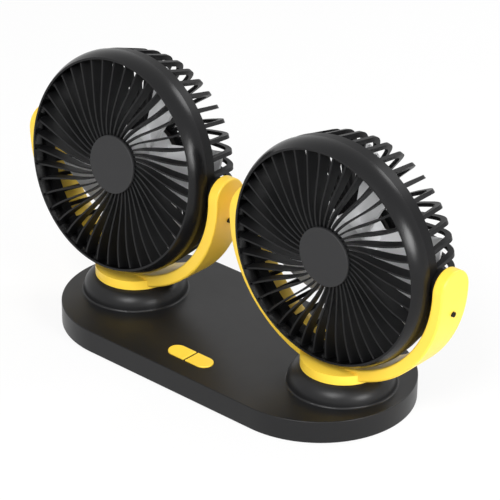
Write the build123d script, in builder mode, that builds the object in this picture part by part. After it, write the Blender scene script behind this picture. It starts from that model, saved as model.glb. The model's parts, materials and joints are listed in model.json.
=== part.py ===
from build123d import *
import os
from math import asin, cos, degrees, radians, sin

# Twin fan for a dashboard or desk: two caged fan heads, each tilting in a yellow
# yoke that swivels on a pedestal of one long black base with two push buttons.
# Millimetres, +Z up, origin on the floor under the middle of the base.
# The fans face -Y, and the left fan is the one at -X.

# Base
BASE_LENGTH = 250.0
BASE_WIDTH = 119.0
DECK_HEIGHT = 14.8
COVER_WALL = 2.2
COVER_EDGE_ROUND = 0.6
COVER_LIFT = 0.8
PLATE_THICKNESS = 2.2
PLATE_RECESS = 0.4
PLATE_CLEARANCE = 0.2
HEAD_SPACING = 168.4

# Pedestals on the deck
PEDESTAL_FOOT_RADIUS = 33.8
PEDESTAL_FOOT_FILLET = 1.2
PEDESTAL_BEAD_RADIUS = 10.2
PEDESTAL_HEIGHT = 11.1
PEDESTAL_WALL = 3.0
PEDESTAL_TUBE_WALL = 3.5
PEDESTAL_TUBE_DROP = 4.8
SPIGOT_RADIUS = 9.0
SPIGOT_BORE = 5.0
RUNNING_CLEARANCE = 0.08
SWIVEL_WASHER_THICKNESS = 0.3
SWIVEL_WASHER_RADIUS = 22.0

# Retaining clip on the spigot
CLIP_THICKNESS = 0.8
CLIP_WIDTH = 3.0
CLIP_GROOVE_DEPTH = 1.0
CLIP_CLEARANCE = 0.1
SPIGOT_TAIL = 1.2

# Base fasteners and feet
BOSS_RADIUS = 4.0
BOSS_INSET = 9.0
BOSS_SPACING_X = 150.0
BASE_SCREW_RADIUS = 1.4
BASE_SCREW_HEAD_RADIUS = 2.7
BASE_SCREW_HEAD_HEIGHT = 1.0
BASE_SCREW_LENGTH = 8.0
SCREW_CLEARANCE = 0.05
FOOT_RADIUS = 7.0
FOOT_POCKET_DEPTH = 0.8
FOOT_SPACING_X = 190.0
FOOT_SPACING_Y = 62.0

# Push buttons, switches and their board
BUTTON_ROW_LENGTH = 33.0
BUTTON_WIDTH = 11.6
BUTTON_SPLIT = 1.6
BUTTON_Y = -39.9
BUTTON_PROUD = 0.7
BUTTON_GAP = 0.4
BUTTON_EDGE_ROUND = 0.5
BUTTON_FLANGE = 1.2
BUTTON_FLANGE_THICKNESS = 1.2
BUTTON_FLANGE_GAP = 0.2
BUTTON_TRAVEL = 0.8
BOARD_LENGTH = 60.0
BOARD_WIDTH = 22.0
BOARD_THICKNESS = 1.6
BOARD_PAD_HEIGHT = 1.0
BOARD_PAD_RADIUS = 3.0
BOARD_SCREW_RADIUS = 0.8
BOARD_SCREW_HEAD_RADIUS = 1.6
BOARD_SCREW_HEAD_HEIGHT = 1.0
BOARD_SCREW_INSET = 3.5
SWITCH_SIZE = 10.0
SWITCH_HEIGHT = 3.2
PLUNGER_RADIUS = 1.65
PLUNGER_FLOOR = 0.8
PLUNGER_SPARE = 0.4

# Supply lead gland in the rear wall
GLAND_BORE_RADIUS = 1.8
GLAND_BARREL_RADIUS = 3.2
GLAND_FLANGE_RADIUS = 4.2
GLAND_FLANGE_THICKNESS = 0.9
GLAND_SNAP_RADIUS = 3.9
GLAND_SNAP_THICKNESS = 1.2
GLAND_CLEARANCE = 0.05
GLAND_HEIGHT = 8.0

# Yoke
PIVOT_HEIGHT = 104.2
YOKE_INNER_RADIUS = 72.0
YOKE_THICKNESS = 7.5
YOKE_WIDTH = 24.5
YOKE_DISC_RADIUS = 25.0
YOKE_EDGE_ROUND = 1.2
YOKE_PEEP_RADIUS = 1.6
YOKE_PEEP_DROP = 15.0
TILT_PIN_RADIUS = 3.0
TILT_PIN_SEAT = 4.5
TILT_PIN_REACH = 6.0
TILT_WASHER_THICKNESS = 0.4
TILT_WASHER_RADIUS = 8.5
TILT_WASHER_GAP = 0.1
PIN_FIT = 0.01
SPOTFACE_MARGIN = 0.8

# Fan head, with depths measured back from the plane of its front rim
RIM_AHEAD = 21.5
RIM_RADIUS = 65.9
RIM_LIP = 1.3
BEZEL_WALL = 2.3
SEAM_RADIUS = 69.6
SEAM_DEPTH = 11.0
RING_RADIUS = 68.8
RING_DEPTH = 18.5
CAGE_CORNER_RADIUS = 63.8
CAGE_CORNER_ROUND = 11.0
CAGE_DEPTH = 45.5
CAGE_WALL = 3.2
SEAM_GAP = 0.1
REAR_HUB_RADIUS = 20.0
BOSS_END_RADIUS = 9.5
LEFT_TILT = 8.0
RIGHT_TILT = 0.7

# Ribs of the front grille and the rear cage
RIB_COUNT = 42
FRONT_RIB_WIDTH = 1.1
FRONT_RIB_SWEEP = 19.1
FRONT_RIB_CURL = 2.45
FRONT_RIB_RIM_DROP = 1.3
FRONT_RIB_CROWN_RADIUS = 47.0
FRONT_RIB_CROWN_DROP = 0.1
FRONT_RIB_HUB_DROP = 2.9
FRONT_RIB_RIM_HEIGHT = 8.5
FRONT_RIB_HUB_HEIGHT = 2.5
REAR_RIB_WIDTH = 2.4
REAR_RIB_SWEEP = 24.0
REAR_RIB_CURL = 1.6
HUB_CAP_RADIUS = 18.06
HUB_CAP_DEPTH = 1.3
HUB_CAP_EDGE_ROUND = 0.6
HUB_SPIGOT_RADIUS = 6.0
RIB_BITE = 0.6

# Motor and impeller
MOTOR_SHAFT_RADIUS = 1.5
BUSH_RADIUS = 3.0
BUSH_CLEARANCE = 0.04
STATOR_RADIUS = 13.0
STATOR_FLANGE_RADIUS = 17.0
STATOR_FLANGE_THICKNESS = 2.0
STATOR_HEIGHT = 21.0
STATOR_SLOTS = 9
AIR_GAP = 0.5
MAGNET_THICKNESS = 1.6
ROTOR_CUP_WALL = 0.9
ROTOR_CUP_LENGTH = 19.0
IMPELLER_HUB_WALL = 1.3
IMPELLER_FIT = 0.05
IMPELLER_RADIUS = 59.5
BLADE_COUNT = 5
BLADE_THICKNESS = 1.4
BLADE_ROOT_CHORD = 24.0
BLADE_TIP_CHORD = 44.0
BLADE_ROOT_PITCH = 42.0
BLADE_TIP_PITCH = 26.0
MOTOR_SCREW_COUNT = 3
MOTOR_SCREW_CIRCLE = 14.5
MOTOR_SCREW_RADIUS = 1.0
MOTOR_SCREW_HEAD_RADIUS = 1.9
MOTOR_SCREW_HEAD_HEIGHT = 1.2
REAR_HUB_THICKNESS = 3.0
MOTOR_SCREW_LENGTH = 3.6

# Sizes that follow from the ones above
SWIVEL_X = HEAD_SPACING / 2
DECK_UNDERSIDE = DECK_HEIGHT - COVER_WALL
PLATE_BOTTOM = COVER_LIFT + PLATE_RECESS
PLATE_TOP = PLATE_BOTTOM + PLATE_THICKNESS
PEDESTAL_TOP = DECK_HEIGHT + PEDESTAL_HEIGHT
YOKE_BOTTOM = PEDESTAL_TOP + SWIVEL_WASHER_THICKNESS
YOKE_OUTER_RADIUS = YOKE_INNER_RADIUS + YOKE_THICKNESS
TUBE_BOTTOM = PEDESTAL_TOP - PEDESTAL_HEIGHT - PEDESTAL_TUBE_DROP
CLIP_TOP = TUBE_BOTTOM - CLIP_CLEARANCE
CLIP_BOTTOM = CLIP_TOP - CLIP_THICKNESS
SPIGOT_BOTTOM = CLIP_BOTTOM - SPIGOT_TAIL
TUBE_RADIUS = SPIGOT_RADIUS + RUNNING_CLEARANCE + PEDESTAL_TUBE_WALL
BOARD_BOTTOM = PLATE_TOP + BOARD_PAD_HEIGHT
BOARD_TOP = BOARD_BOTTOM + BOARD_THICKNESS
SWITCH_TOP = BOARD_TOP + SWITCH_HEIGHT
BUTTON_TOP = DECK_HEIGHT + BUTTON_PROUD
FLANGE_TOP = DECK_UNDERSIDE - BUTTON_FLANGE_GAP
FLANGE_BOTTOM = FLANGE_TOP - BUTTON_FLANGE_THICKNESS
BUTTON_CENTRE_X = BUTTON_ROW_LENGTH / 4 + BUTTON_SPLIT / 4
GRILLE_HUB_TOP = RIM_AHEAD - FRONT_RIB_HUB_DROP
GRILLE_HUB_BOTTOM = GRILLE_HUB_TOP - FRONT_RIB_HUB_HEIGHT
REAR_FACE = RIM_AHEAD - CAGE_DEPTH
REAR_HUB_TOP = REAR_FACE + REAR_HUB_THICKNESS
SEAM_LEVEL = RIM_AHEAD - SEAM_DEPTH
RING_END = RIM_AHEAD - RING_DEPTH
MAGNET_RADIUS = STATOR_RADIUS + AIR_GAP + MAGNET_THICKNESS
ROTOR_RADIUS = MAGNET_RADIUS + ROTOR_CUP_WALL
IMPELLER_HUB_RADIUS = ROTOR_RADIUS + IMPELLER_FIT + IMPELLER_HUB_WALL
STATOR_TOP = REAR_HUB_TOP + STATOR_HEIGHT
ROTOR_INSIDE_TOP = STATOR_TOP + 2 * AIR_GAP
ROTOR_TOP = ROTOR_INSIDE_TOP + ROTOR_CUP_WALL
ROTOR_BOTTOM = ROTOR_TOP - ROTOR_CUP_LENGTH
IMPELLER_TOP = ROTOR_TOP + IMPELLER_HUB_WALL
BLADE_LEVEL = (ROTOR_BOTTOM + IMPELLER_TOP) / 2
BOSS_END = YOKE_INNER_RADIUS - TILT_WASHER_THICKNESS - TILT_WASHER_GAP

os.makedirs("parts", exist_ok=True)


def save(piece, name):
    """Label a finished piece and write it as a STEP file of the same name."""
    piece.part.label = name
    export_step(piece.part, f"parts/{name}.step")


def base_outline(inset):
    """Racetrack outline of the base, drawn in from its wall by inset."""
    SlotOverall(BASE_LENGTH - 2 * inset, BASE_WIDTH - 2 * inset)


def swept_strip(inner_radius, outer_radius, width, sweep, curl):
    """Face of one rib seen along the fan axis, curling from the rim towards the hub."""
    stations = 6
    rows = []
    for side in (-0.5, 0.5):
        row = []
        for step in range(stations):
            inward = step / (stations - 1)
            radius = outer_radius - inward * (outer_radius - inner_radius)
            angle = radians(sweep * inward**curl) + side * width / radius
            row.append((radius * cos(angle), radius * sin(angle)))
        rows.append(row)
    with BuildSketch() as strip:
        with BuildLine():
            Spline(*rows[0])
            Spline(*rows[1])
            Line(rows[0][0], rows[1][0])
            Line(rows[0][-1], rows[1][-1])
        make_face()
    return strip.sketch


# Base cover: racetrack shell, two beaded pedestals, spigot tubes and screw bosses
with BuildPart() as pedestal:
    bead_x = PEDESTAL_FOOT_RADIUS - PEDESTAL_FOOT_FILLET - PEDESTAL_BEAD_RADIUS
    bead_z = DECK_HEIGHT + PEDESTAL_FOOT_FILLET
    bead_rise = PEDESTAL_TOP - bead_z
    bead_turn = degrees(asin(bead_rise / PEDESTAL_BEAD_RADIUS))
    hollow_radius = PEDESTAL_BEAD_RADIUS - PEDESTAL_WALL
    hollow_turn = degrees(asin((bead_rise - PEDESTAL_WALL) / hollow_radius))
    with BuildSketch(Plane.XZ):
        with BuildLine():
            foot = CenterArc((PEDESTAL_FOOT_RADIUS, bead_z), PEDESTAL_FOOT_FILLET, 270, -90)
            bead = CenterArc((bead_x, bead_z), PEDESTAL_BEAD_RADIUS, 0, bead_turn)
            Polyline(
                bead @ 1, (0, PEDESTAL_TOP), (0, DECK_UNDERSIDE),
                (PEDESTAL_FOOT_RADIUS, DECK_UNDERSIDE), foot @ 0,
            )
        make_face()
    revolve(axis=Axis.Z)
    with BuildSketch(Plane.XZ):
        with BuildLine():
            hollow = CenterArc((bead_x, bead_z), hollow_radius, 0, hollow_turn)
            Polyline(
                hollow @ 1, (TUBE_RADIUS, PEDESTAL_TOP - PEDESTAL_WALL), (TUBE_RADIUS, DECK_UNDERSIDE),
                (bead_x + hollow_radius, DECK_UNDERSIDE), hollow @ 0,
            )
        make_face()
    revolve(axis=Axis.Z, mode=Mode.SUBTRACT)
    with BuildSketch(Plane.XY.offset(TUBE_BOTTOM)):
        Circle(TUBE_RADIUS)
    extrude(amount=DECK_UNDERSIDE - TUBE_BOTTOM)

boss_y = BASE_WIDTH / 2 - BOSS_INSET
end_boss_x = BASE_LENGTH / 2 - BOSS_INSET
boss_places = [(x, y) for x in (-BOSS_SPACING_X / 2, BOSS_SPACING_X / 2) for y in (-boss_y, boss_y)]
boss_places += [(-end_boss_x, 0), (end_boss_x, 0)]
swivel_places = [(-SWIVEL_X, 0), (SWIVEL_X, 0)]
gland_plane = Plane(origin=(0, BASE_WIDTH / 2, GLAND_HEIGHT), x_dir=(1, 0, 0), z_dir=(0, 1, 0))
screw_seat = PLATE_BOTTOM + BASE_SCREW_HEAD_HEIGHT + SCREW_CLEARANCE

with BuildPart() as base_cover:
    with BuildSketch(Plane.XY.offset(COVER_LIFT)):
        base_outline(0)
    extrude(amount=DECK_HEIGHT - COVER_LIFT)
    fillet(base_cover.faces().sort_by(Axis.Z)[-1].edges(), COVER_EDGE_ROUND)
    with BuildSketch(Plane.XY.offset(COVER_LIFT)):
        base_outline(COVER_WALL)
    extrude(amount=DECK_UNDERSIDE - COVER_LIFT, mode=Mode.SUBTRACT)
    with BuildSketch(Plane.XY.offset(DECK_UNDERSIDE)):
        with Locations(*swivel_places):
            Circle(bead_x + hollow_radius)
    extrude(amount=COVER_WALL, mode=Mode.SUBTRACT)
    with Locations(*swivel_places):
        add(pedestal.part)
    with BuildSketch(Plane.XY.offset(PLATE_TOP)):
        with Locations(*boss_places):
            Circle(BOSS_RADIUS)
            Circle(BASE_SCREW_RADIUS + SCREW_CLEARANCE, mode=Mode.SUBTRACT)
    extrude(amount=DECK_UNDERSIDE - PLATE_TOP)
    with BuildSketch(Plane.XY.offset(TUBE_BOTTOM)):
        with Locations(*swivel_places):
            Circle(SPIGOT_RADIUS + RUNNING_CLEARANCE)
    extrude(amount=PEDESTAL_TOP - TUBE_BOTTOM, mode=Mode.SUBTRACT)
    with BuildSketch(Plane.XY.offset(DECK_UNDERSIDE)):
        with Locations((0, BUTTON_Y)):
            SlotOverall(BUTTON_ROW_LENGTH + 2 * BUTTON_GAP, BUTTON_WIDTH + 2 * BUTTON_GAP)
    extrude(amount=COVER_WALL, mode=Mode.SUBTRACT)
    with BuildSketch(gland_plane):
        Circle(GLAND_FLANGE_RADIUS + GLAND_CLEARANCE)
    extrude(amount=-GLAND_FLANGE_THICKNESS, mode=Mode.SUBTRACT)
    with BuildSketch(gland_plane):
        Circle(GLAND_BARREL_RADIUS + GLAND_CLEARANCE)
    extrude(amount=-COVER_WALL, mode=Mode.SUBTRACT)
save(base_cover, "base_cover")

# Base plate: closes the cover from below and carries the feet and the board
foot_places = [(x, y) for x in (-FOOT_SPACING_X / 2, FOOT_SPACING_X / 2)
               for y in (-FOOT_SPACING_Y / 2, FOOT_SPACING_Y / 2)]
board_reach_x = BOARD_LENGTH / 2 - BOARD_SCREW_INSET
board_reach_y = BOARD_WIDTH / 2 - BOARD_SCREW_INSET
board_screw_places = [(x, BUTTON_Y + y) for x in (-board_reach_x, board_reach_x)
                      for y in (-board_reach_y, board_reach_y)]

with BuildPart() as base_plate:
    with BuildSketch(Plane.XY.offset(PLATE_BOTTOM)):
        base_outline(COVER_WALL + PLATE_CLEARANCE)
        with Locations(*boss_places):
            Circle(BASE_SCREW_RADIUS + SCREW_CLEARANCE, mode=Mode.SUBTRACT)
    extrude(amount=PLATE_THICKNESS)
    with BuildSketch(Plane.XY.offset(PLATE_BOTTOM)):
        with Locations(*boss_places):
            Circle(BASE_SCREW_HEAD_RADIUS + SCREW_CLEARANCE)
    extrude(amount=screw_seat - PLATE_BOTTOM, mode=Mode.SUBTRACT)
    with BuildSketch(Plane.XY.offset(PLATE_BOTTOM)):
        with Locations(*foot_places):
            Circle(FOOT_RADIUS + SCREW_CLEARANCE)
    extrude(amount=FOOT_POCKET_DEPTH, mode=Mode.SUBTRACT)
    with BuildSketch(Plane.XY.offset(PLATE_TOP)):
        with Locations(*board_screw_places):
            Circle(BOARD_PAD_RADIUS)
    extrude(amount=BOARD_PAD_HEIGHT)
    with BuildSketch(Plane.XY.offset(PLATE_BOTTOM + PLATE_THICKNESS / 2)):
        with Locations(*board_screw_places):
            Circle(BOARD_SCREW_RADIUS + SCREW_CLEARANCE)
    extrude(amount=PLATE_THICKNESS / 2 + BOARD_PAD_HEIGHT, mode=Mode.SUBTRACT)
save(base_plate, "base_plate")

with BuildPart() as base_screws:
    with BuildSketch(Plane.XY.offset(screw_seat)):
        with Locations(*boss_places):
            Circle(BASE_SCREW_HEAD_RADIUS)
    extrude(amount=-BASE_SCREW_HEAD_HEIGHT)
    with BuildSketch(Plane.XY.offset(screw_seat)):
        with Locations(*boss_places):
            Circle(BASE_SCREW_RADIUS)
    extrude(amount=BASE_SCREW_LENGTH)
save(base_screws, "base_screws")

with BuildPart() as feet:
    with BuildSketch():
        with Locations(*foot_places):
            Circle(FOOT_RADIUS)
    extrude(amount=PLATE_BOTTOM + FOOT_POCKET_DEPTH)
save(feet, "feet")

# Circuit board under the buttons, its switches and its screws
switch_places = [(-BUTTON_CENTRE_X, BUTTON_Y), (BUTTON_CENTRE_X, BUTTON_Y)]

with BuildPart() as circuit_board:
    with BuildSketch(Plane.XY.offset(BOARD_BOTTOM)):
        with Locations((0, BUTTON_Y)):
            RectangleRounded(BOARD_LENGTH, BOARD_WIDTH, BOARD_THICKNESS)
        with Locations(*board_screw_places):
            Circle(BOARD_SCREW_RADIUS + SCREW_CLEARANCE, mode=Mode.SUBTRACT)
    extrude(amount=BOARD_THICKNESS)
save(circuit_board, "circuit_board")

with BuildPart() as board_screws:
    with BuildSketch(Plane.XY.offset(BOARD_TOP)):
        with Locations(*board_screw_places):
            Circle(BOARD_SCREW_HEAD_RADIUS)
    extrude(amount=BOARD_SCREW_HEAD_HEIGHT)
    with BuildSketch(Plane.XY.offset(PLATE_BOTTOM + PLATE_THICKNESS / 2)):
        with Locations(*board_screw_places):
            Circle(BOARD_SCREW_RADIUS)
    extrude(amount=BOARD_TOP - PLATE_BOTTOM - PLATE_THICKNESS / 2)
save(board_screws, "board_screws")

with BuildPart() as switch_housings:
    with BuildSketch(Plane.XY.offset(BOARD_TOP)):
        with Locations(*switch_places):
            Rectangle(SWITCH_SIZE, SWITCH_SIZE)
    extrude(amount=SWITCH_HEIGHT)
    with BuildSketch(Plane.XY.offset(BOARD_TOP + PLUNGER_FLOOR)):
        with Locations(*switch_places):
            Circle(PLUNGER_RADIUS + RUNNING_CLEARANCE)
    extrude(amount=SWITCH_HEIGHT - PLUNGER_FLOOR, mode=Mode.SUBTRACT)
save(switch_housings, "switch_housings")

# Gland that the supply lead leaves by, snapped into the rear wall
with BuildPart() as cord_gland:
    with BuildSketch(gland_plane):
        Circle(GLAND_FLANGE_RADIUS)
    extrude(amount=-GLAND_FLANGE_THICKNESS)
    with BuildSketch(gland_plane):
        Circle(GLAND_BARREL_RADIUS)
    extrude(amount=-(COVER_WALL + GLAND_SNAP_THICKNESS))
    with BuildSketch(gland_plane.offset(-(COVER_WALL + GLAND_CLEARANCE))):
        Circle(GLAND_SNAP_RADIUS)
    extrude(amount=-(GLAND_SNAP_THICKNESS - GLAND_CLEARANCE))
    with BuildSketch(gland_plane):
        Circle(GLAND_BORE_RADIUS)
    extrude(amount=-(COVER_WALL + GLAND_SNAP_THICKNESS), mode=Mode.SUBTRACT)
save(cord_gland, "cord_gland")


def half_pill(side, margin):
    """Half of the button row's outline on one side of the split, grown by margin."""
    reach = BUTTON_ROW_LENGTH / 2 + margin
    with Locations((0, BUTTON_Y)):
        SlotOverall(2 * reach, BUTTON_WIDTH + 2 * margin)
    with Locations((side * (BUTTON_SPLIT / 2 + reach / 2), BUTTON_Y)):
        Rectangle(reach, BUTTON_WIDTH + 2 * margin, mode=Mode.INTERSECT)


# Push buttons with the plungers that work the switches
plunger_bottom = BOARD_TOP + PLUNGER_FLOOR + BUTTON_TRAVEL + PLUNGER_SPARE
for side, side_name in ((-1, "left"), (1, "right")):
    with BuildPart() as button:
        with BuildSketch(Plane.XY.offset(FLANGE_BOTTOM)):
            half_pill(side, 0)
        extrude(amount=BUTTON_TOP - FLANGE_BOTTOM)
        fillet(button.faces().sort_by(Axis.Z)[-1].edges(), BUTTON_EDGE_ROUND)
        with BuildSketch(Plane.XY.offset(FLANGE_BOTTOM)):
            half_pill(side, BUTTON_FLANGE)
        extrude(amount=BUTTON_FLANGE_THICKNESS)
    save(button, f"button_{side_name}")

    with BuildPart() as plunger:
        with BuildSketch(Plane.XY.offset(plunger_bottom)):
            with Locations((side * BUTTON_CENTRE_X, BUTTON_Y)):
                Circle(PLUNGER_RADIUS)
        extrude(amount=FLANGE_BOTTOM - plunger_bottom)
    save(plunger, f"plunger_{side_name}")

# Yoke on the swivel axis: a hoop band round the head, cut flat on a round disc
arm_top = PIVOT_HEIGHT + YOKE_WIDTH / 2
with BuildPart() as yoke:
    with BuildSketch(Plane.XZ):
        with BuildLine():
            outer_hoop = CenterArc((0, PIVOT_HEIGHT), YOKE_OUTER_RADIUS, 180, 180)
            inner_hoop = CenterArc((0, PIVOT_HEIGHT), YOKE_INNER_RADIUS, 0, -180)
            for reach in (-1, 1):
                outside = (reach * YOKE_OUTER_RADIUS, PIVOT_HEIGHT)
                inside = (reach * YOKE_INNER_RADIUS, PIVOT_HEIGHT)
                Polyline(outside, (outside[0], arm_top), (inside[0], arm_top), inside)
        make_face()
    extrude(amount=YOKE_WIDTH / 2, both=True)
    with BuildSketch(Plane.YZ):
        with Locations((0, (YOKE_BOTTOM + PIVOT_HEIGHT) / 2)):
            Rectangle(YOKE_WIDTH, PIVOT_HEIGHT - YOKE_BOTTOM)
        with Locations((0, PIVOT_HEIGHT)):
            Circle(YOKE_WIDTH / 2)
    extrude(amount=YOKE_OUTER_RADIUS, both=True, mode=Mode.INTERSECT)
    band_edges = yoke.edges().filter_by(lambda edge: edge.bounding_box().size.Z > PIN_FIT)
    fillet(band_edges, YOKE_EDGE_ROUND)
    with BuildSketch(Plane.XY.offset(YOKE_BOTTOM)):
        Circle(YOKE_DISC_RADIUS)
    extrude(amount=PIVOT_HEIGHT - YOKE_INNER_RADIUS - YOKE_BOTTOM)
    with BuildSketch(Plane.XY.offset(SPIGOT_BOTTOM)):
        Circle(SPIGOT_RADIUS)
    extrude(amount=YOKE_BOTTOM - SPIGOT_BOTTOM)
    with BuildSketch(Plane.XY.offset(CLIP_BOTTOM)):
        Circle(SPIGOT_RADIUS)
        Circle(SPIGOT_RADIUS - CLIP_GROOVE_DEPTH, mode=Mode.SUBTRACT)
    extrude(amount=CLIP_THICKNESS, mode=Mode.SUBTRACT)
    with BuildSketch(Plane.XY.offset(SPIGOT_BOTTOM)):
        Circle(SPIGOT_BORE)
    extrude(amount=YOKE_BOTTOM - SPIGOT_BOTTOM, mode=Mode.SUBTRACT)
    with BuildSketch(Plane.YZ):
        with Locations((0, PIVOT_HEIGHT)):
            Circle(BOSS_END_RADIUS + SPOTFACE_MARGIN)
    extrude(amount=YOKE_INNER_RADIUS, both=True, mode=Mode.SUBTRACT)
    with BuildSketch(Plane.YZ):
        with Locations((0, PIVOT_HEIGHT)):
            Circle(TILT_PIN_RADIUS + PIN_FIT)
    extrude(amount=YOKE_INNER_RADIUS + TILT_PIN_SEAT, both=True, mode=Mode.SUBTRACT)
    with BuildSketch(Plane.YZ):
        with Locations((0, PIVOT_HEIGHT - YOKE_PEEP_DROP)):
            Circle(YOKE_PEEP_RADIUS)
    extrude(amount=YOKE_OUTER_RADIUS, both=True, mode=Mode.SUBTRACT)

with BuildPart() as tilt_pins:
    for reach in (-1, 1):
        with BuildSketch(Plane.YZ.offset(reach * (YOKE_INNER_RADIUS - TILT_PIN_REACH))):
            with Locations((0, PIVOT_HEIGHT)):
                Circle(TILT_PIN_RADIUS)
        extrude(amount=reach * (TILT_PIN_REACH + TILT_PIN_SEAT))

with BuildPart() as tilt_washers:
    for reach in (-1, 1):
        with BuildSketch(Plane.YZ.offset(reach * YOKE_INNER_RADIUS)):
            with Locations((0, PIVOT_HEIGHT)):
                Circle(TILT_WASHER_RADIUS)
                Circle(TILT_PIN_RADIUS + PIN_FIT, mode=Mode.SUBTRACT)
        extrude(amount=-reach * TILT_WASHER_THICKNESS)

with BuildPart() as swivel_washer:
    with BuildSketch(Plane.XY.offset(PEDESTAL_TOP)):
        Circle(SWIVEL_WASHER_RADIUS)
        Circle(SPIGOT_RADIUS + RUNNING_CLEARANCE, mode=Mode.SUBTRACT)
    extrude(amount=SWIVEL_WASHER_THICKNESS)

clip_inside = SPIGOT_RADIUS - CLIP_GROOVE_DEPTH + PIN_FIT
with BuildPart() as spigot_clip:
    with BuildSketch(Plane.XY.offset(CLIP_BOTTOM)):
        Circle(clip_inside + CLIP_WIDTH)
        Circle(clip_inside, mode=Mode.SUBTRACT)
        with Locations((0, -clip_inside - CLIP_WIDTH)):
            Rectangle(clip_inside, 2 * (clip_inside + CLIP_WIDTH), mode=Mode.SUBTRACT)
    extrude(amount=CLIP_THICKNESS)

# Front grille, drawn with the fan axis along +Z and the tilt pivot at the origin
hub_plate_radius = HUB_CAP_RADIUS - RIB_BITE / 2
rib_root = hub_plate_radius - RIB_BITE
rib_tip = SEAM_RADIUS - BEZEL_WALL + RIB_BITE
front_rib = swept_strip(rib_root, rib_tip, FRONT_RIB_WIDTH, FRONT_RIB_SWEEP, FRONT_RIB_CURL)

with BuildPart() as front_grille:
    with BuildSketch(Plane.XY.offset(SEAM_LEVEL)):
        with PolarLocations(0, RIB_COUNT):
            add(front_rib)
    extrude(amount=SEAM_DEPTH)
    with BuildSketch(Plane.XZ):
        with BuildLine():
            Spline(
                (RIM_RADIUS, RIM_AHEAD - FRONT_RIB_RIM_DROP),
                (FRONT_RIB_CROWN_RADIUS, RIM_AHEAD - FRONT_RIB_CROWN_DROP),
                (HUB_CAP_RADIUS + RIB_BITE / 2, GRILLE_HUB_TOP),
            )
            Polyline(
                (HUB_CAP_RADIUS + RIB_BITE / 2, GRILLE_HUB_TOP),
                (rib_root, GRILLE_HUB_TOP), (rib_root, GRILLE_HUB_BOTTOM),
                (rib_tip, RIM_AHEAD - FRONT_RIB_RIM_DROP - FRONT_RIB_RIM_HEIGHT),
                (RIM_RADIUS, RIM_AHEAD - FRONT_RIB_RIM_DROP),
            )
        make_face()
    revolve(axis=Axis.Z, mode=Mode.INTERSECT)
    with BuildSketch(Plane.XY.offset(GRILLE_HUB_BOTTOM)):
        Circle(hub_plate_radius)
        Circle(HUB_SPIGOT_RADIUS + PIN_FIT, mode=Mode.SUBTRACT)
    extrude(amount=FRONT_RIB_HUB_HEIGHT)
    with BuildSketch(Plane.XZ):
        with BuildLine():
            flare = TangentArc((SEAM_RADIUS, SEAM_LEVEL), (RIM_RADIUS, RIM_AHEAD), tangent=(0, 1))
            lining = TangentArc(
                (SEAM_RADIUS - BEZEL_WALL, SEAM_LEVEL), (RIM_RADIUS - RIM_LIP, RIM_AHEAD), tangent=(0, 1),
            )
            Line(flare @ 0, lining @ 0)
            Line(flare @ 1, lining @ 1)
        make_face()
    revolve(axis=Axis.Z)

with BuildPart() as hub_cap:
    with BuildSketch(Plane.XY.offset(GRILLE_HUB_TOP)):
        Circle(HUB_CAP_RADIUS)
    extrude(amount=FRONT_RIB_HUB_DROP - HUB_CAP_DEPTH)
    fillet(hub_cap.faces().sort_by(Axis.Z)[-1].edges(), HUB_CAP_EDGE_ROUND)
    with BuildSketch(Plane.XY.offset(GRILLE_HUB_BOTTOM)):
        Circle(HUB_SPIGOT_RADIUS)
    extrude(amount=FRONT_RIB_HUB_HEIGHT)

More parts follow.
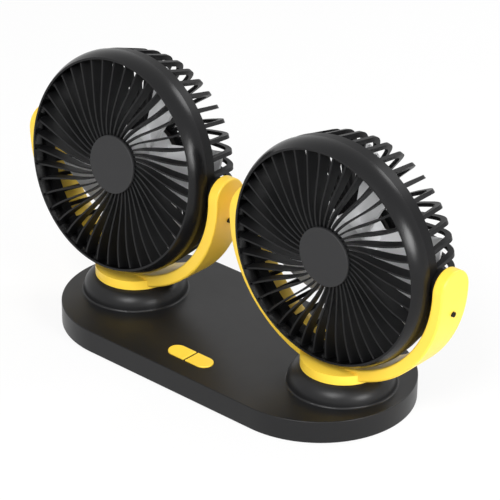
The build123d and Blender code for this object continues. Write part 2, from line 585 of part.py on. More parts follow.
# Rear cage: ring behind the seam, ribs along the side and across the back, pivot bosses
rear_rib = swept_strip(
    REAR_HUB_RADIUS - RIB_BITE, SEAM_RADIUS, REAR_RIB_WIDTH, REAR_RIB_SWEEP, REAR_RIB_CURL,
)
ring_top = SEAM_LEVEL - SEAM_GAP
motor_screw_seat = REAR_FACE + MOTOR_SCREW_HEAD_HEIGHT + SCREW_CLEARANCE
with BuildPart() as rear_cage:
    with BuildSketch(Plane.XY.offset(REAR_FACE)):
        with PolarLocations(0, RIB_COUNT):
            add(rear_rib)
    extrude(amount=RING_END - REAR_FACE)
    with BuildSketch(Plane.XZ):
        with BuildLine():
            cage_outside = FilletPolyline(
                (RING_RADIUS, RING_END), (CAGE_CORNER_RADIUS, REAR_FACE), (REAR_HUB_RADIUS / 2, REAR_FACE),
                radius=CAGE_CORNER_ROUND,
            )
            cage_inside = FilletPolyline(
                (RING_RADIUS - CAGE_WALL, RING_END),
                (CAGE_CORNER_RADIUS - CAGE_WALL, REAR_FACE + CAGE_WALL),
                (REAR_HUB_RADIUS / 2, REAR_FACE + CAGE_WALL),
                radius=CAGE_CORNER_ROUND - CAGE_WALL,
            )
            Line(cage_outside @ 0, cage_inside @ 0)
            Line(cage_outside @ 1, cage_inside @ 1)
        make_face()
    revolve(axis=Axis.Z, mode=Mode.INTERSECT)
    with BuildSketch(Plane.XY.offset(RING_END)):
        Circle(RING_RADIUS)
        Circle(RING_RADIUS - CAGE_WALL, mode=Mode.SUBTRACT)
    extrude(amount=ring_top - RING_END)
    with BuildSketch(Plane.XY.offset(REAR_FACE)):
        Circle(REAR_HUB_RADIUS)
        with PolarLocations(MOTOR_SCREW_CIRCLE, MOTOR_SCREW_COUNT):
            Circle(MOTOR_SCREW_RADIUS + SCREW_CLEARANCE, mode=Mode.SUBTRACT)
    extrude(amount=REAR_HUB_THICKNESS)
    with BuildSketch(Plane.XY.offset(REAR_FACE)):
        with PolarLocations(MOTOR_SCREW_CIRCLE, MOTOR_SCREW_COUNT):
            Circle(MOTOR_SCREW_HEAD_RADIUS + SCREW_CLEARANCE)
    extrude(amount=motor_screw_seat - REAR_FACE, mode=Mode.SUBTRACT)
    for reach in (-1, 1):
        with BuildSketch(Plane.YZ.offset(reach * (RING_RADIUS - CAGE_WALL))):
            Circle(BOSS_END_RADIUS)
        extrude(amount=reach * (BOSS_END - RING_RADIUS + CAGE_WALL))
    with BuildSketch(Plane.YZ):
        Circle(TILT_PIN_RADIUS + RUNNING_CLEARANCE)
    extrude(amount=BOSS_END, both=True, mode=Mode.SUBTRACT)

# Motor fixed to the rear hub
stator_base = REAR_HUB_TOP + STATOR_FLANGE_THICKNESS
with BuildPart() as motor_stator:
    with BuildSketch(Plane.XY.offset(REAR_HUB_TOP)):
        Circle(STATOR_FLANGE_RADIUS)
        with PolarLocations(MOTOR_SCREW_CIRCLE, MOTOR_SCREW_COUNT):
            Circle(MOTOR_SCREW_RADIUS + SCREW_CLEARANCE, mode=Mode.SUBTRACT)
    extrude(amount=STATOR_FLANGE_THICKNESS)
    with BuildSketch(Plane.XY.offset(stator_base)):
        Circle(STATOR_RADIUS)
        with PolarLocations(STATOR_RADIUS, STATOR_SLOTS):
            Rectangle(STATOR_RADIUS, BUSH_RADIUS, mode=Mode.SUBTRACT)
    extrude(amount=STATOR_TOP - stator_base)
    with BuildSketch(Plane.XY.offset(stator_base)):
        Circle(BUSH_RADIUS + PIN_FIT)
    extrude(amount=STATOR_TOP - stator_base, mode=Mode.SUBTRACT)

with BuildPart() as motor_bush:
    with BuildSketch(Plane.XY.offset(stator_base)):
        Circle(BUSH_RADIUS)
        Circle(MOTOR_SHAFT_RADIUS + BUSH_CLEARANCE, mode=Mode.SUBTRACT)
    extrude(amount=STATOR_TOP - stator_base)

with BuildPart() as motor_screws:
    with BuildSketch(Plane.XY.offset(motor_screw_seat)):
        with PolarLocations(MOTOR_SCREW_CIRCLE, MOTOR_SCREW_COUNT):
            Circle(MOTOR_SCREW_HEAD_RADIUS)
    extrude(amount=-MOTOR_SCREW_HEAD_HEIGHT)
    with BuildSketch(Plane.XY.offset(motor_screw_seat)):
        with PolarLocations(MOTOR_SCREW_CIRCLE, MOTOR_SCREW_COUNT):
            Circle(MOTOR_SCREW_RADIUS)
    extrude(amount=MOTOR_SCREW_LENGTH)

# Turning parts: shaft, steel rotor cup, magnet ring and bladed impeller
with BuildPart() as motor_shaft:
    with BuildSketch(Plane.XY.offset(stator_base)):
        Circle(MOTOR_SHAFT_RADIUS)
    extrude(amount=ROTOR_TOP - stator_base)

with BuildPart() as rotor_cup:
    with BuildSketch(Plane.XY.offset(ROTOR_BOTTOM)):
        Circle(ROTOR_RADIUS)
        Circle(MAGNET_RADIUS + PIN_FIT, mode=Mode.SUBTRACT)
    extrude(amount=ROTOR_CUP_LENGTH)
    with BuildSketch(Plane.XY.offset(ROTOR_INSIDE_TOP)):
        Circle(ROTOR_RADIUS)
        Circle(MOTOR_SHAFT_RADIUS + PIN_FIT, mode=Mode.SUBTRACT)
    extrude(amount=ROTOR_CUP_WALL)

with BuildPart() as rotor_magnet:
    with BuildSketch(Plane.XY.offset(ROTOR_BOTTOM)):
        Circle(MAGNET_RADIUS)
        Circle(MAGNET_RADIUS - MAGNET_THICKNESS, mode=Mode.SUBTRACT)
    extrude(amount=ROTOR_INSIDE_TOP - ROTOR_BOTTOM)

blade_sections = (
    (ROTOR_RADIUS / 2, BLADE_ROOT_CHORD, BLADE_ROOT_PITCH),
    (IMPELLER_RADIUS + BLADE_THICKNESS, BLADE_TIP_CHORD, BLADE_TIP_PITCH),
)
with BuildPart() as blade:
    for reach, chord, pitch in blade_sections:
        with BuildSketch(Plane(origin=(reach, 0, BLADE_LEVEL), x_dir=(0, 1, 0), z_dir=(1, 0, 0))):
            Rectangle(chord, BLADE_THICKNESS, rotation=-pitch)
    loft(ruled=True)

with BuildPart() as impeller:
    with PolarLocations(0, BLADE_COUNT):
        add(blade.part)
    with BuildSketch(Plane.XY.offset(REAR_FACE)):
        Circle(IMPELLER_RADIUS)
    extrude(amount=CAGE_DEPTH, mode=Mode.INTERSECT)
    with BuildSketch(Plane.XY.offset(ROTOR_BOTTOM)):
        Circle(IMPELLER_HUB_RADIUS)
    extrude(amount=IMPELLER_TOP - ROTOR_BOTTOM)
    with BuildSketch(Plane.XY.offset(ROTOR_BOTTOM)):
        Circle(ROTOR_RADIUS + IMPELLER_FIT)
    extrude(amount=ROTOR_TOP - ROTOR_BOTTOM, mode=Mode.SUBTRACT)

# Both fans, each head turned up by its own tilt about its pivot
stand_pieces = {
    "yoke": yoke, "tilt_pins": tilt_pins, "tilt_washers": tilt_washers,
    "swivel_washer": swivel_washer, "spigot_clip": spigot_clip,
}
head_pieces = {
    "front_grille": front_grille, "hub_cap": hub_cap, "rear_cage": rear_cage,
    "motor_stator": motor_stator, "motor_bush": motor_bush, "motor_screws": motor_screws,
    "motor_shaft": motor_shaft, "rotor_cup": rotor_cup, "rotor_magnet": rotor_magnet,
    "impeller": impeller,
}
for side_name, swivel_x, tilt in (("left", -SWIVEL_X, LEFT_TILT), ("right", SWIVEL_X, RIGHT_TILT)):
    forward = (0, -cos(radians(tilt)), sin(radians(tilt)))
    head_plane = Plane(origin=(swivel_x, 0, PIVOT_HEIGHT), x_dir=(1, 0, 0), z_dir=forward)
    for pieces, place in ((stand_pieces, Location((swivel_x, 0, 0))), (head_pieces, head_plane)):
        for name, source in pieces.items():
            with BuildPart() as placed:
                with Locations(place):
                    add(source.part)
            save(placed, f"{name}_{side_name}")
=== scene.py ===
"""Looks of the twin dashboard fan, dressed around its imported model.

Two caged fan heads tilt in yellow yokes on one long black base. Lengths are in metres, the
fans face -Y, and the left fan is the one at -X.
"""

from __future__ import annotations

import json
import logging
import math
from dataclasses import dataclass, field
from enum import Enum
from typing import Any

import bmesh
import bpy
from mathutils import Matrix, Vector

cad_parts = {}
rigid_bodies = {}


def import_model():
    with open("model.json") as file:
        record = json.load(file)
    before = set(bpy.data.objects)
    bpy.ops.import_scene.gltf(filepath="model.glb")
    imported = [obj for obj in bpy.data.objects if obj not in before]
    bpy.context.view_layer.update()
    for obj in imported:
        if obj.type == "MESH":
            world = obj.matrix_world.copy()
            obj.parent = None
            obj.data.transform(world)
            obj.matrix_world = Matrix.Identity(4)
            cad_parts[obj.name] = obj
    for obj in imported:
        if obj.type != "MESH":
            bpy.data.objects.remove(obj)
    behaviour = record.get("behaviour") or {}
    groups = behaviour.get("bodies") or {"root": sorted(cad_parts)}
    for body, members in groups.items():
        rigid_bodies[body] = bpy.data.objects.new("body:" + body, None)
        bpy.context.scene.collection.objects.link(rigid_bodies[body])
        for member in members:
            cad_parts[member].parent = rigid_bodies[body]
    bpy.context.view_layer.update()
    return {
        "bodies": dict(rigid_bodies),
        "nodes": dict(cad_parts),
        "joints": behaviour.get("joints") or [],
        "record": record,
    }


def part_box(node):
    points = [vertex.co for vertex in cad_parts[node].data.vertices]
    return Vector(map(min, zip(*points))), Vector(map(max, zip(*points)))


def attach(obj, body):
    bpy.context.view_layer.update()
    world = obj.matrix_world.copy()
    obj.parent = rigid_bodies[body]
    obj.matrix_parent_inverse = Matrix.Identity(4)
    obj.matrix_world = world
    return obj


LOG = logging.getLogger("twin_fan")
MM = 0.001

# Socket numbers of the Mix node when it blends colours.
MIX_FACTOR = 0
MIX_FIRST = 6
MIX_SECOND = 7
MIX_RESULT = 2

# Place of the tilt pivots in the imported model: distance from the middle, and height.
FAN_OFFSET = 84.2 * MM
PIVOT_HEIGHT = 104.2 * MM

LATHE_STEPS = 32
WELD_DISTANCE = 0.001 * MM


class Side(Enum):
    """The two fans, named as their nodes are, with the sign of their place along X."""

    LEFT = "left"
    RIGHT = "right"

    @property
    def sign(self) -> int:
        """Sign of the fan's X."""
        return -1 if self is Side.LEFT else 1


class Value:
    """A shader socket that can be used in arithmetic: each operation adds a Math node."""

    def __init__(self, shader: Shader, socket: bpy.types.NodeSocket) -> None:
        """Wrap one output socket of a shader's node tree."""
        self.shader = shader
        self.socket = socket

    def _math(self, operation: str, first: Any, second: Any) -> Value:
        """Add a Math node.

        Args:
            operation: the Math node's operation.
            first: first operand, a Value or a number.
            second: second operand, a Value or a number.

        Returns:
            The node's result.
        """
        node = self.shader.add("ShaderNodeMath", {"operation": operation}, {0: first, 1: second})
        return Value(self.shader, node.outputs[0])

    def __add__(self, other: Any) -> Value:
        """Sum."""
        return self._math("ADD", self, other)

    def __radd__(self, other: Any) -> Value:
        """Sum, reflected."""
        return self._math("ADD", other, self)

    def __sub__(self, other: Any) -> Value:
        """Difference."""
        return self._math("SUBTRACT", self, other)

    def __rsub__(self, other: Any) -> Value:
        """Difference, reflected."""
        return self._math("SUBTRACT", other, self)

    def __mul__(self, other: Any) -> Value:
        """Product."""
        return self._math("MULTIPLY", self, other)

    def maximum(self, other: Any) -> Value:
        """Larger of the two."""
        return self._math("MAXIMUM", self, other)

    def minimum(self, other: Any) -> Value:
        """Smaller of the two."""
        return self._math("MINIMUM", self, other)


class Shader:
    """One material's node tree, with helpers that keep the node set-up short."""

    def __init__(self, name: str) -> None:
        """Start an empty node material called name."""
        self.material = bpy.data.materials.new(name)
        self.material.use_nodes = True
        self.tree = self.material.node_tree
        self.tree.nodes.clear()
        self.output = self.add("ShaderNodeOutputMaterial")
        coordinates = self.add("ShaderNodeTexCoord")
        self.place = Value(self, coordinates.outputs["Object"])

    def add(
        self,
        kind: str,
        settings: dict[str, Any] | None = None,
        inputs: dict[Any, Any] | None = None,
    ) -> bpy.types.Node:
        """Add any node.

        Args:
            kind: the node's type.
            settings: properties set before the inputs.
            inputs: values or links by socket name or index.

        Returns:
            The new node.
        """
        node = self.tree.nodes.new(kind)
        for key, value in (settings or {}).items():
            setattr(node, key, value)
        for key, value in (inputs or {}).items():
            if isinstance(value, Value):
                self.tree.links.new(value.socket, node.inputs[key])
            elif isinstance(value, bpy.types.NodeSocket):
                self.tree.links.new(value, node.inputs[key])
            else:
                node.inputs[key].default_value = value
        return node

    def noise(self, size: float, detail: float = 2.0) -> Value:
        """Noise pattern.

        Args:
            size: length of one feature in metres.
            detail: octaves of finer noise.

        Returns:
            The pattern's value, from 0 to 1.
        """
        node = self.add(
            "ShaderNodeTexNoise",
            {"noise_dimensions": "3D"},
            {"Vector": self.place, "Scale": 1.0 / size, "Detail": detail},
        )
        return Value(self, node.outputs["Fac"])

    def sway(self, size: float, detail: float, amount: float) -> Value:
        """Noise about zero, to shift a finish's gloss.

        Args:
            size: length of one feature in metres.
            detail: octaves of finer noise.
            amount: distance from the lowest value to the highest.

        Returns:
            The pattern's value, from minus half the amount to half of it.
        """
        return (self.noise(size, detail) - 0.5) * amount

    def speckle(self, size: float) -> Value:
        """Cellular pattern of a moulding tool's spark texture, size metres across."""
        node = self.add(
            "ShaderNodeTexVoronoi", {"feature": "F1"}, {"Vector": self.place, "Scale": 1.0 / size}
        )
        return Value(self, node.outputs["Distance"])

    def blend(self, factor: Any, first: tuple, second: tuple) -> Value:
        """Blend two colours.

        Args:
            factor: share of the second colour.
            first: colour as red, green and blue.
            second: colour as red, green and blue.

        Returns:
            The blended colour.
        """
        node = self.add(
            "ShaderNodeMix",
            {"data_type": "RGBA"},
            {MIX_FACTOR: factor, MIX_FIRST: (*first, 1), MIX_SECOND: (*second, 1)},
        )
        return Value(self, node.outputs[MIX_RESULT])

    def bump(self, height: Value, depth: float, strength: float) -> Value:
        """Bump from a height pattern, depth metres deep."""
        node = self.add(
            "ShaderNodeBump", None, {"Height": height, "Distance": depth, "Strength": strength}
        )
        return Value(self, node.outputs["Normal"])

    def surface(self, shader_output: bpy.types.NodeSocket) -> bpy.types.Material:
        """Connect a shader to the surface and return the finished material."""
        self.tree.links.new(shader_output, self.output.inputs["Surface"])
        return self.material

    def principled(self, inputs: dict[str, Any]) -> bpy.types.Material:
        """Give the surface a principled shader and return the finished material."""
        node = self.add("ShaderNodeBsdfPrincipled", None, inputs)
        return self.surface(node.outputs[0])


def shade(colour: tuple, factor: float) -> tuple:
    """Colour made darker or lighter by factor."""
    return tuple(min(1.0, channel * factor) for channel in colour)


@dataclass(frozen=True)
class Plastic:
    """Moulded plastic with a fine tool texture and slow shifts of tone and gloss."""

    name: str
    colour: tuple
    roughness: float = 0.4
    grain: float = 0.35 * MM
    grain_depth: float = 0.01 * MM
    grain_strength: float = 0.5
    tone: float = 0.06
    tone_size: float = 28 * MM
    tone_detail: float = 3.0
    gloss_size: float = 9 * MM
    gloss_detail: float = 4.0
    gloss_sway: float = 0.12
    specular: float = 0.5

    def material(self) -> bpy.types.Material:
        """Build the finish's material."""
        shader = Shader(self.name)
        drift = shader.noise(self.tone_size, self.tone_detail)
        fine = shader.speckle(self.grain)
        dark = shade(self.colour, 1 - self.tone)
        light = shade(self.colour, 1 + self.tone)
        gloss = shader.sway(self.gloss_size, self.gloss_detail, self.gloss_sway)
        return shader.principled(
            {
                "Base Color": shader.blend(drift, dark, light),
                "Roughness": self.roughness + gloss,
                "Specular IOR Level": self.specular,
                "Normal": shader.bump(fine, self.grain_depth, self.grain_strength),
            }
        )


@dataclass(frozen=True)
class Grille:
    """Black grille plastic: a polished bezel round duller ribs."""

    name: str
    colour: tuple
    pivot: tuple[float, float, float]
    bezel_reach: float = 66.5 * MM
    blend_width: float = 1.5 * MM
    bezel_roughness: float = 0.24
    rib_roughness: float = 0.5
    specular: float = 0.24
    dark_tone: float = 0.85
    light_tone: float = 1.2
    tone_size: float = 22 * MM
    tone_detail: float = 3.0
    gloss_size: float = 9 * MM
    gloss_detail: float = 4.0
    gloss_sway: float = 0.08
    grain: float = 0.35 * MM
    grain_depth: float = 0.01 * MM
    grain_strength: float = 0.5

    def material(self) -> bpy.types.Material:
        """Build the finish's material, polished where it lies far from the tilt pivot."""
        shader = Shader(self.name)
        offset = shader.add(
            "ShaderNodeVectorMath", {"operation": "DISTANCE"}, {0: shader.place, 1: self.pivot}
        )
        reach = Value(shader, offset.outputs["Value"])
        polish = (reach - self.bezel_reach) * (1 / self.blend_width) + 0.5
        share = polish.maximum(0.0).minimum(1.0)
        drift = shader.noise(self.tone_size, self.tone_detail)
        dark = shade(self.colour, self.dark_tone)
        light = shade(self.colour, self.light_tone)
        gloss = self.rib_roughness - share * (self.rib_roughness - self.bezel_roughness)
        sway = shader.sway(self.gloss_size, self.gloss_detail, self.gloss_sway)
        fine = shader.speckle(self.grain)
        return shader.principled(
            {
                "Base Color": shader.blend(drift, dark, light),
                "Roughness": gloss + sway,
                "Specular IOR Level": self.specular,
                "Normal": shader.bump(fine, self.grain_depth, self.grain_strength),
            }
        )


@dataclass(frozen=True)
class Metal:
    """Turned or plated metal with fine scratches."""

    name: str
    colour: tuple
    roughness: float = 0.32
    scratch: float = 0.6 * MM
    scratch_detail: float = 6.0
    scratch_depth: float = 0.01 * MM
    scratch_strength: float = 0.4
    scratch_gloss: float = 0.25
    dark_tone: float = 0.85
    light_tone: float = 1.1

    def material(self) -> bpy.types.Material:
        """Build the finish's material."""
        shader = Shader(self.name)
        marks = shader.noise(self.scratch, self.scratch_detail)
        dark = shade(self.colour, self.dark_tone)
        light = shade(self.colour, self.light_tone)
        return shader.principled(
            {
                "Base Color": shader.blend(marks, dark, light),
                "Metallic": 1.0,
                "Roughness": self.roughness + (marks - 0.5) * self.scratch_gloss,
                "Normal": shader.bump(marks, self.scratch_depth, self.scratch_strength),
            }
        )


@dataclass(frozen=True)
class Rubber:
    """Soft rubber, dull and slightly dusty."""

    name: str
    colour: tuple
    roughness: float = 0.78
    specular: float = 0.3
    dust_size: float = 3 * MM
    dust_detail: float = 5.0
    dust_tone: float = 1.9
    dust_gloss: float = 0.2
    skin_size: float = 0.5 * MM
    skin_detail: float = 3.0
    skin_depth: float = 0.04 * MM
    skin_strength: float = 0.5

    def material(self) -> bpy.types.Material:
        """Build the finish's material."""
        shader = Shader(self.name)
        dust = shader.noise(self.dust_size, self.dust_detail)
        skin = shader.noise(self.skin_size, self.skin_detail)
        return shader.principled(
            {
                "Base Color": shader.blend(dust, self.colour, shade(self.colour, self.dust_tone)),
                "Roughness": self.roughness + (dust - 0.5) * self.dust_gloss,
                "Specular IOR Level": self.specular,
                "Normal": shader.bump(skin, self.skin_depth, self.skin_strength),
            }
        )


@dataclass(frozen=True)
class Blade:
    """Pale milky plastic of the impeller, with faint flow lines."""

    name: str
    colour: tuple
    opacity: float = 0.9
    opacity_sway: float = 0.08
    roughness: float = 0.3
    dark_tone: float = 0.92
    light_tone: float = 1.05
    flow_size: float = 16 * MM
    flow_detail: float = 4.0
    flow_gloss: float = 0.12
    skin_size: float = 0.8 * MM
    skin_detail: float = 2.0
    skin_depth: float = 0.01 * MM
    skin_strength: float = 0.4

    def material(self) -> bpy.types.Material:
        """Build the finish's material."""
        shader = Shader(self.name)
        flow = shader.noise(self.flow_size, self.flow_detail)
        skin = shader.noise(self.skin_size, self.skin_detail)
        dark = shade(self.colour, self.dark_tone)
        light = shade(self.colour, self.light_tone)
        return shader.principled(
            {
                "Base Color": shader.blend(flow, dark, light),
                "Roughness": self.roughness + flow * self.flow_gloss,
                "Alpha": self.opacity + (flow - 0.5) * self.opacity_sway,
                "Normal": shader.bump(skin, self.skin_depth, self.skin_strength),
            }
        )


@dataclass(frozen=True)
class Board:
    """Circuit board under green solder mask, with copper tracks showing as lighter lines."""

    name: str
    colour: tuple
    roughness: float = 0.3
    gloss_size: float = 2 * MM
    gloss_sway: float = 0.1
    track_spacing: float = 4 * MM
    track_width: float = 0.05
    track_tone: float = 1.8
    track_depth: float = 0.03 * MM
    track_strength: float = 0.6

    def material(self) -> bpy.types.Material:
        """Build the finish's material."""
        shader = Shader(self.name)
        bricks = shader.add(
            "ShaderNodeTexBrick",
            {"offset": 0.5},
            {
                "Vector": shader.place,
                "Scale": 1 / self.track_spacing,
                "Mortar Size": self.track_width,
            },
        )
        tracks = Value(shader, bricks.outputs["Fac"])
        copper = shade(self.colour, self.track_tone)
        return shader.principled(
            {
                "Base Color": shader.blend(tracks, self.colour, copper),
                "Roughness": self.roughness + shader.noise(self.gloss_size) * self.gloss_sway,
                "Normal": shader.bump(tracks, self.track_depth, self.track_strength),
            }
        )


DEEP_BLACK = (0.005, 0.005, 0.0055)

SATIN_BLACK = Plastic("satin_black", (0.010, 0.010, 0.0105), roughness=0.36, specular=0.24)
# Near black of the yoke-arm hole plugs: painted shade standing for the inside of the holes.
HOLE_SHADE_BLACK = Plastic("painted_hole_shade", DEEP_BLACK, roughness=0.5, specular=0.2)
CAGE_BLACK = Plastic("cage_black", DEEP_BLACK, roughness=0.4, specular=0.14)
UNDERSIDE_BLACK = Plastic("underside_black", (0.02, 0.02, 0.02), roughness=0.6, grain=0.8 * MM)
HUB_GREY = Plastic("hub_grey", (0.022, 0.022, 0.023), roughness=0.55, tone=0.03, specular=0.3)
YELLOW = Plastic("yellow", (1.0, 0.66, 0.06), roughness=0.38, tone=0.03)
SWITCH_BLACK = Plastic("switch_black", (0.04, 0.04, 0.04), roughness=0.5)
PLUNGER_WHITE = Plastic("plunger_white", (0.78, 0.78, 0.75), roughness=0.4)
WASHER_NYLON = Plastic("washer_nylon", (0.75, 0.74, 0.7), roughness=0.45)
WINDING = Plastic(
    "winding", (0.02, 0.018, 0.017), roughness=0.4, grain=0.5 * MM, grain_depth=0.1 * MM
)
MAGNET = Plastic("magnet", (0.09, 0.09, 0.1), roughness=0.55)
SCREW_STEEL = Metal("screw_steel", (0.56, 0.56, 0.57))
PIN_STEEL = Metal("pin_steel", (0.62, 0.62, 0.64), roughness=0.22)
ROTOR_STEEL = Metal("rotor_steel", (0.5, 0.5, 0.52), roughness=0.35)
BRONZE = Metal("bronze", (0.7, 0.5, 0.25), roughness=0.4)
FOOT_RUBBER = Rubber("foot_rubber", (0.02, 0.02, 0.02))
BLADE_MILK = Blade("blade_milk", (0.93, 0.935, 0.945))
BOARD_GREEN = Board("board_green", (0.02, 0.16, 0.06))
GRILLES = {
    side: Grille(f"grille_{side.value}", DEEP_BLACK, (side.sign * FAN_OFFSET, 0.0, PIVOT_HEIGHT))
    for side in Side
}


def finished(finish: Any, made: dict[str, bpy.types.Material]) -> bpy.types.Material:
    """Material of a finish, built the first time it is asked for.

    Args:
        finish: the finish.
        made: materials that exist already, by finish name.

    Returns:
        The finish's material.
    """
    if finish.name not in made:
        made[finish.name] = finish.material()
    return made[finish.name]


def dress(frame: dict, node: str, finish: Any, made: dict[str, bpy.types.Material]) -> None:
    """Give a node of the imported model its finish.

    Args:
        frame: the loaded frame.
        node: the node's name.
        finish: the finish to build.
        made: materials that exist already, by finish name.
    """
    material = finished(finish, made)
    target = frame["nodes"][node]
    if not target.material_slots:
        target.data.materials.append(material)
    for slot in target.material_slots:
        slot.material = material
    LOG.info("dressed %s in %s", node, finish.name)


@dataclass
class Base:
    """The long base with its buttons, board, feet and fasteners."""

    finishes: dict[str, Any] = field(
        default_factory=lambda: {
            "base_cover": SATIN_BLACK,
            "base_plate": UNDERSIDE_BLACK,
            "base_screws": SCREW_STEEL,
            "feet": FOOT_RUBBER,
            "circuit_board": BOARD_GREEN,
            "board_screws": SCREW_STEEL,
            "switch_housings": SWITCH_BLACK,
            "cord_gland": FOOT_RUBBER,
            "button_left": YELLOW,
            "button_right": YELLOW,
            "plunger_left": PLUNGER_WHITE,
            "plunger_right": PLUNGER_WHITE,
        }
    )
    deck_height: float = 14.8 * MM
    divider_depth: float = 2.1 * MM
    divider_length: float = 12.3 * MM
    divider_gap: float = 0.25 * MM
    divider_round_share: float = 1 / 5
    divider_round_steps: int = 3

    def build(self, frame: dict, made: dict[str, bpy.types.Material]) -> None:
        """Dress every node of the base and set the bar between the buttons."""
        for node, finish in self.finishes.items():
            dress(frame, node, finish, made)
        self._divider(made)

    def _divider(self, made: dict[str, bpy.types.Material]) -> None:
        """Make the bar of the deck that parts the two buttons."""
        left_low, left_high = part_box("button_left")
        right_low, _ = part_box("button_right")
        width = right_low[0] - left_high[0] - 2 * self.divider_gap
        middle = Vector(
            (
                (left_high[0] + right_low[0]) / 2,
                (left_low[1] + left_high[1]) / 2,
                self.deck_height - self.divider_depth / 2,
            )
        )
        mesh = bpy.data.meshes.new("button_divider")
        form = bmesh.new()
        bmesh.ops.create_cube(form, size=1.0)
        extent = (width, self.divider_length, self.divider_depth)
        bmesh.ops.scale(form, vec=extent, verts=form.verts)
        bmesh.ops.translate(form, vec=middle, verts=form.verts)
        crown = [
            edge for edge in form.edges if all(vert.co.z > middle.z for vert in edge.verts)
        ]
        bmesh.ops.bevel(
            form,
            geom=crown,
            offset=width * self.divider_round_share,
            segments=self.divider_round_steps,
            profile=0.5,
            affect="EDGES",
            material=-1,
        )
        form.to_mesh(mesh)
        form.free()
        divider = bpy.data.objects.new("button_divider", mesh)
        bpy.context.scene.collection.objects.link(divider)
        mesh.materials.append(finished(SATIN_BLACK, made))
        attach(divider, "base")


def lathe(
    name: str, outline: list[tuple[float, float]], axis: Vector, place: Vector
) -> bpy.types.Object:
    """Make a turned piece.

    Args:
        name: the piece's name.
        outline: radius and height of each point, from one end of the axis to the other.
        axis: direction that the heights run in.
        place: point that the heights are measured from.

    Returns:
        The piece, linked to the scene, with its origin at zero.
    """
    mesh = bpy.data.meshes.new(name)
    form = bmesh.new()
    points = [form.verts.new((radius, 0.0, height)) for radius, height in outline]
    edges = [form.edges.new(pair) for pair in zip(points, points[1:])]
    bmesh.ops.spin(
        form,
        geom=points + edges,
        axis=(0, 0, 1),
        cent=(0, 0, 0),
        angle=math.tau,
        steps=LATHE_STEPS,
        use_merge=True,
    )
    bmesh.ops.remove_doubles(form, verts=form.verts, dist=WELD_DISTANCE)
    bmesh.ops.recalc_face_normals(form, faces=form.faces)
    turn = Vector((0, 0, 1)).rotation_difference(axis).to_matrix().to_4x4()
    bmesh.ops.transform(form, matrix=Matrix.Translation(place) @ turn, verts=form.verts)
    form.to_mesh(mesh)
    form.free()
    piece = bpy.data.objects.new(name, mesh)
    bpy.context.scene.collection.objects.link(piece)
    return piece


@dataclass
class HoleShadePlug:
    """Dished plug closing a yoke arm's small hole from outside; its near black is painted shade.
    """

    radius: float = 1.6 * MM
    drop: float = 15.0 * MM
    recess: float = 0.25 * MM
    dish: float = 0.5 * MM
    length: float = 5.0 * MM
    rim_share: float = 0.8
    floor_share: float = 0.55

    def build(self, side: Side, reach: int, made: dict[str, bpy.types.Material]) -> None:
        """Make one arm's plug, near black as painted hole shade, and let it ride on the yoke.

        Args:
            side: the fan that the yoke belongs to.
            reach: -1 for the arm towards -X, 1 for the arm towards +X.
            made: materials that exist already, by finish name.
        """
        low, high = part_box(f"yoke_{side.value}")
        pins_low, pins_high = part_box(f"tilt_pins_{side.value}")
        pivot_height = (pins_low[2] + pins_high[2]) / 2
        outer_face = high[0] if reach > 0 else low[0]
        outline = [
            (0.0, -self.length),
            (self.radius, -self.length),
            (self.radius, -self.recess),
            (self.radius * self.rim_share, -self.recess),
            (self.radius * self.floor_share, -self.recess - self.dish),
            (0.0, -self.recess - self.dish),
        ]
        piece = lathe(
            f"hole_shade_plug_{side.value}_{'outer' if reach == side.sign else 'inner'}",
            outline,
            Vector((reach, 0, 0)),
            Vector((outer_face, 0, pivot_height - self.drop)),
        )
        # The plug's near black is painted shade of the hole's inside.
        piece.data.materials.append(finished(HOLE_SHADE_BLACK, made))
        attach(piece, f"yoke_{side.value}")


@dataclass
class Fan:
    """One fan: its yoke, head and turning parts."""

    side: Side
    finishes: dict[str, Any] = field(
        default_factory=lambda: {
            "yoke": YELLOW,
            "tilt_pins": PIN_STEEL,
            "tilt_washers": WASHER_NYLON,
            "swivel_washer": WASHER_NYLON,
            "spigot_clip": SCREW_STEEL,
            "hub_cap": HUB_GREY,
            "rear_cage": CAGE_BLACK,
            "motor_stator": WINDING,
            "motor_bush": BRONZE,
            "motor_screws": SCREW_STEEL,
            "motor_shaft": PIN_STEEL,
            "rotor_cup": ROTOR_STEEL,
            "rotor_magnet": MAGNET,
            "impeller": BLADE_MILK,
        }
    )

    def build(self, frame: dict, made: dict[str, bpy.types.Material]) -> None:
        """Dress every node of the fan and plug its yoke's holes in painted-shade black."""
        for name, finish in self.finishes.items():
            dress(frame, f"{name}_{self.side.value}", finish, made)
        dress(frame, f"front_grille_{self.side.value}", GRILLES[self.side], made)
        # Near-black plugs in both arm holes paint the holes' shade.
        for reach in (-1, 1):
            HoleShadePlug().build(self.side, reach, made)


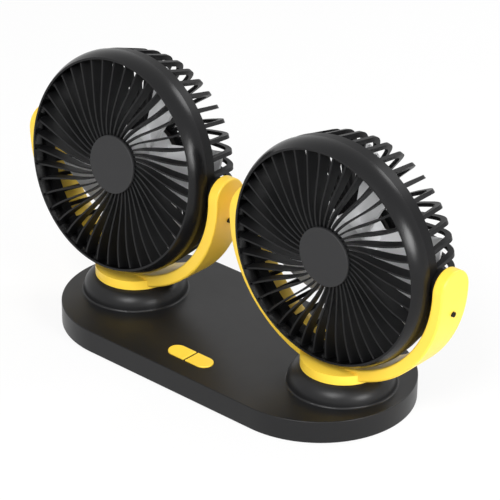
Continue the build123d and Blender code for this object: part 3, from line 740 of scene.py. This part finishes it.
@dataclass
class Viewpoint:
    """The photograph's camera, from the base's outline and both rims.

    The distance and the place of the origin in the picture give the camera's position.
    """

    azimuth: float = math.radians(41.54)
    elevation: float = math.radians(27.86)
    roll: float = math.radians(0.61)
    distance: float = 1.5777
    focal_pixels: float = 2587.6
    frame_pixels: float = 500.0
    origin_pixel: tuple[float, float] = (235.4, 353.3)
    sensor: float = 36.0
    clip_end: float = 20.0

    def build(self) -> None:
        """Make the scene's camera."""
        back = Vector(
            (
                math.sin(self.azimuth) * math.cos(self.elevation),
                -math.cos(self.azimuth) * math.cos(self.elevation),
                math.sin(self.elevation),
            )
        )
        level = Vector((math.cos(self.azimuth), math.sin(self.azimuth), 0.0))
        upright = back.cross(level)
        right = level * math.cos(self.roll) + upright * math.sin(self.roll)
        up = upright * math.cos(self.roll) - level * math.sin(self.roll)
        middle = self.frame_pixels / 2
        along = (self.origin_pixel[0] - middle) * self.distance / self.focal_pixels
        below = (self.origin_pixel[1] - middle) * self.distance / self.focal_pixels
        data = bpy.data.cameras.new("photo_camera")
        data.sensor_width = self.sensor
        data.sensor_fit = "HORIZONTAL"
        data.lens = self.focal_pixels / self.frame_pixels * self.sensor
        data.clip_end = self.clip_end
        camera = bpy.data.objects.new("photo_camera", data)
        turn = Matrix((right, up, back)).transposed().to_4x4()
        position = back * self.distance - right * along + up * below
        camera.matrix_world = Matrix.Translation(position) @ turn
        bpy.context.scene.collection.objects.link(camera)
        bpy.context.scene.camera = camera


@dataclass
class Lamp:
    """One soft area lamp aimed at the fan."""

    name: str
    place: tuple[float, float, float]
    size: float
    power: float
    aim: tuple[float, float, float] = (0.0, 0.0, 0.08)

    def build(self) -> None:
        """Make the lamp."""
        data = bpy.data.lights.new(self.name, "AREA")
        data.shape = "DISK"
        data.size = self.size
        data.energy = self.power
        lamp = bpy.data.objects.new(self.name, data)
        lamp.location = self.place
        direction = Vector(self.aim) - Vector(self.place)
        lamp.rotation_euler = direction.to_track_quat("-Z", "Y").to_euler()
        bpy.context.scene.collection.objects.link(lamp)


@dataclass
class Studio:
    """Pale floor, plain world and soft lamps."""

    floor_size: float = 12.0
    floor_white: float = 0.85
    floor_tone: float = 0.92
    world_fill: float = 0.42
    lamps: tuple[Lamp, ...] = (
        Lamp("key_lamp", (0.5, -1.3, 1.4), 0.8, 26.0),
        Lamp("side_lamp", (1.7, -0.2, 0.7), 0.7, 20.0),
        Lamp("back_lamp", (0.4, 1.2, 1.3), 0.7, 8.0),
    )

    def build(self) -> None:
        """Make the floor, the world and the lamps."""
        self._floor()
        self._world()
        for lamp in self.lamps:
            lamp.build()

    def _floor(self) -> None:
        """Make the floor, near white to camera, glossy and transmitted rays, paper to others."""
        mesh = bpy.data.meshes.new("floor")
        form = bmesh.new()
        bmesh.ops.create_grid(form, x_segments=2, y_segments=2, size=self.floor_size / 2)
        form.to_mesh(mesh)
        form.free()
        floor = bpy.data.objects.new("floor", mesh)
        bpy.context.scene.collection.objects.link(floor)
        shader = Shader("studio_floor")
        tone = self.floor_tone
        paper = shader.add("ShaderNodeBsdfDiffuse", None, {"Color": (tone, tone, tone, 1)})
        glow = shader.add("ShaderNodeEmission", None, {"Color": (1, 1, 1, 1), "Strength": 1.0})
        path = shader.add("ShaderNodeLightPath")
        seen = Value(shader, path.outputs["Is Camera Ray"])
        for ray in ("Is Glossy Ray", "Is Transmission Ray"):
            seen = seen.maximum(path.outputs[ray])
        factor = seen * self.floor_white
        mix = shader.add(
            "ShaderNodeMixShader", None, {0: factor, 1: paper.outputs[0], 2: glow.outputs[0]}
        )
        mesh.materials.append(shader.surface(mix.outputs[0]))

    def _world(self) -> None:
        """Make the world: white where it is seen or mirrored, softer as fill light."""
        world = bpy.data.worlds.new("studio_world")
        bpy.context.scene.world = world
        world.use_nodes = True
        tree = world.node_tree
        tree.nodes.clear()
        output = tree.nodes.new("ShaderNodeOutputWorld")
        fill = tree.nodes.new("ShaderNodeBackground")
        fill.inputs["Strength"].default_value = self.world_fill
        white = tree.nodes.new("ShaderNodeBackground")
        white.inputs["Color"].default_value = (1, 1, 1, 1)
        fill.inputs["Color"].default_value = (1, 1, 1, 1)
        path = tree.nodes.new("ShaderNodeLightPath")
        seen = path.outputs["Is Camera Ray"]
        for ray in ("Is Glossy Ray", "Is Transmission Ray"):
            either = tree.nodes.new("ShaderNodeMath")
            either.operation = "MAXIMUM"
            tree.links.new(seen, either.inputs[0])
            tree.links.new(path.outputs[ray], either.inputs[1])
            seen = either.outputs[0]
        mix = tree.nodes.new("ShaderNodeMixShader")
        tree.links.new(seen, mix.inputs[0])
        tree.links.new(fill.outputs[0], mix.inputs[1])
        tree.links.new(white.outputs[0], mix.inputs[2])
        tree.links.new(mix.outputs[0], output.inputs["Surface"])


def main() -> None:
    """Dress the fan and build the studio."""
    logging.basicConfig(level=logging.INFO, format="%(name)s %(message)s")
    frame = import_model()
    made: dict[str, bpy.types.Material] = {}
    Base().build(frame, made)
    for side in Side:
        Fan(side).build(frame, made)
    Studio().build()
    Viewpoint().build()
    bpy.context.scene.view_settings.view_transform = "Standard"


if __name__ == "__main__":
    main()
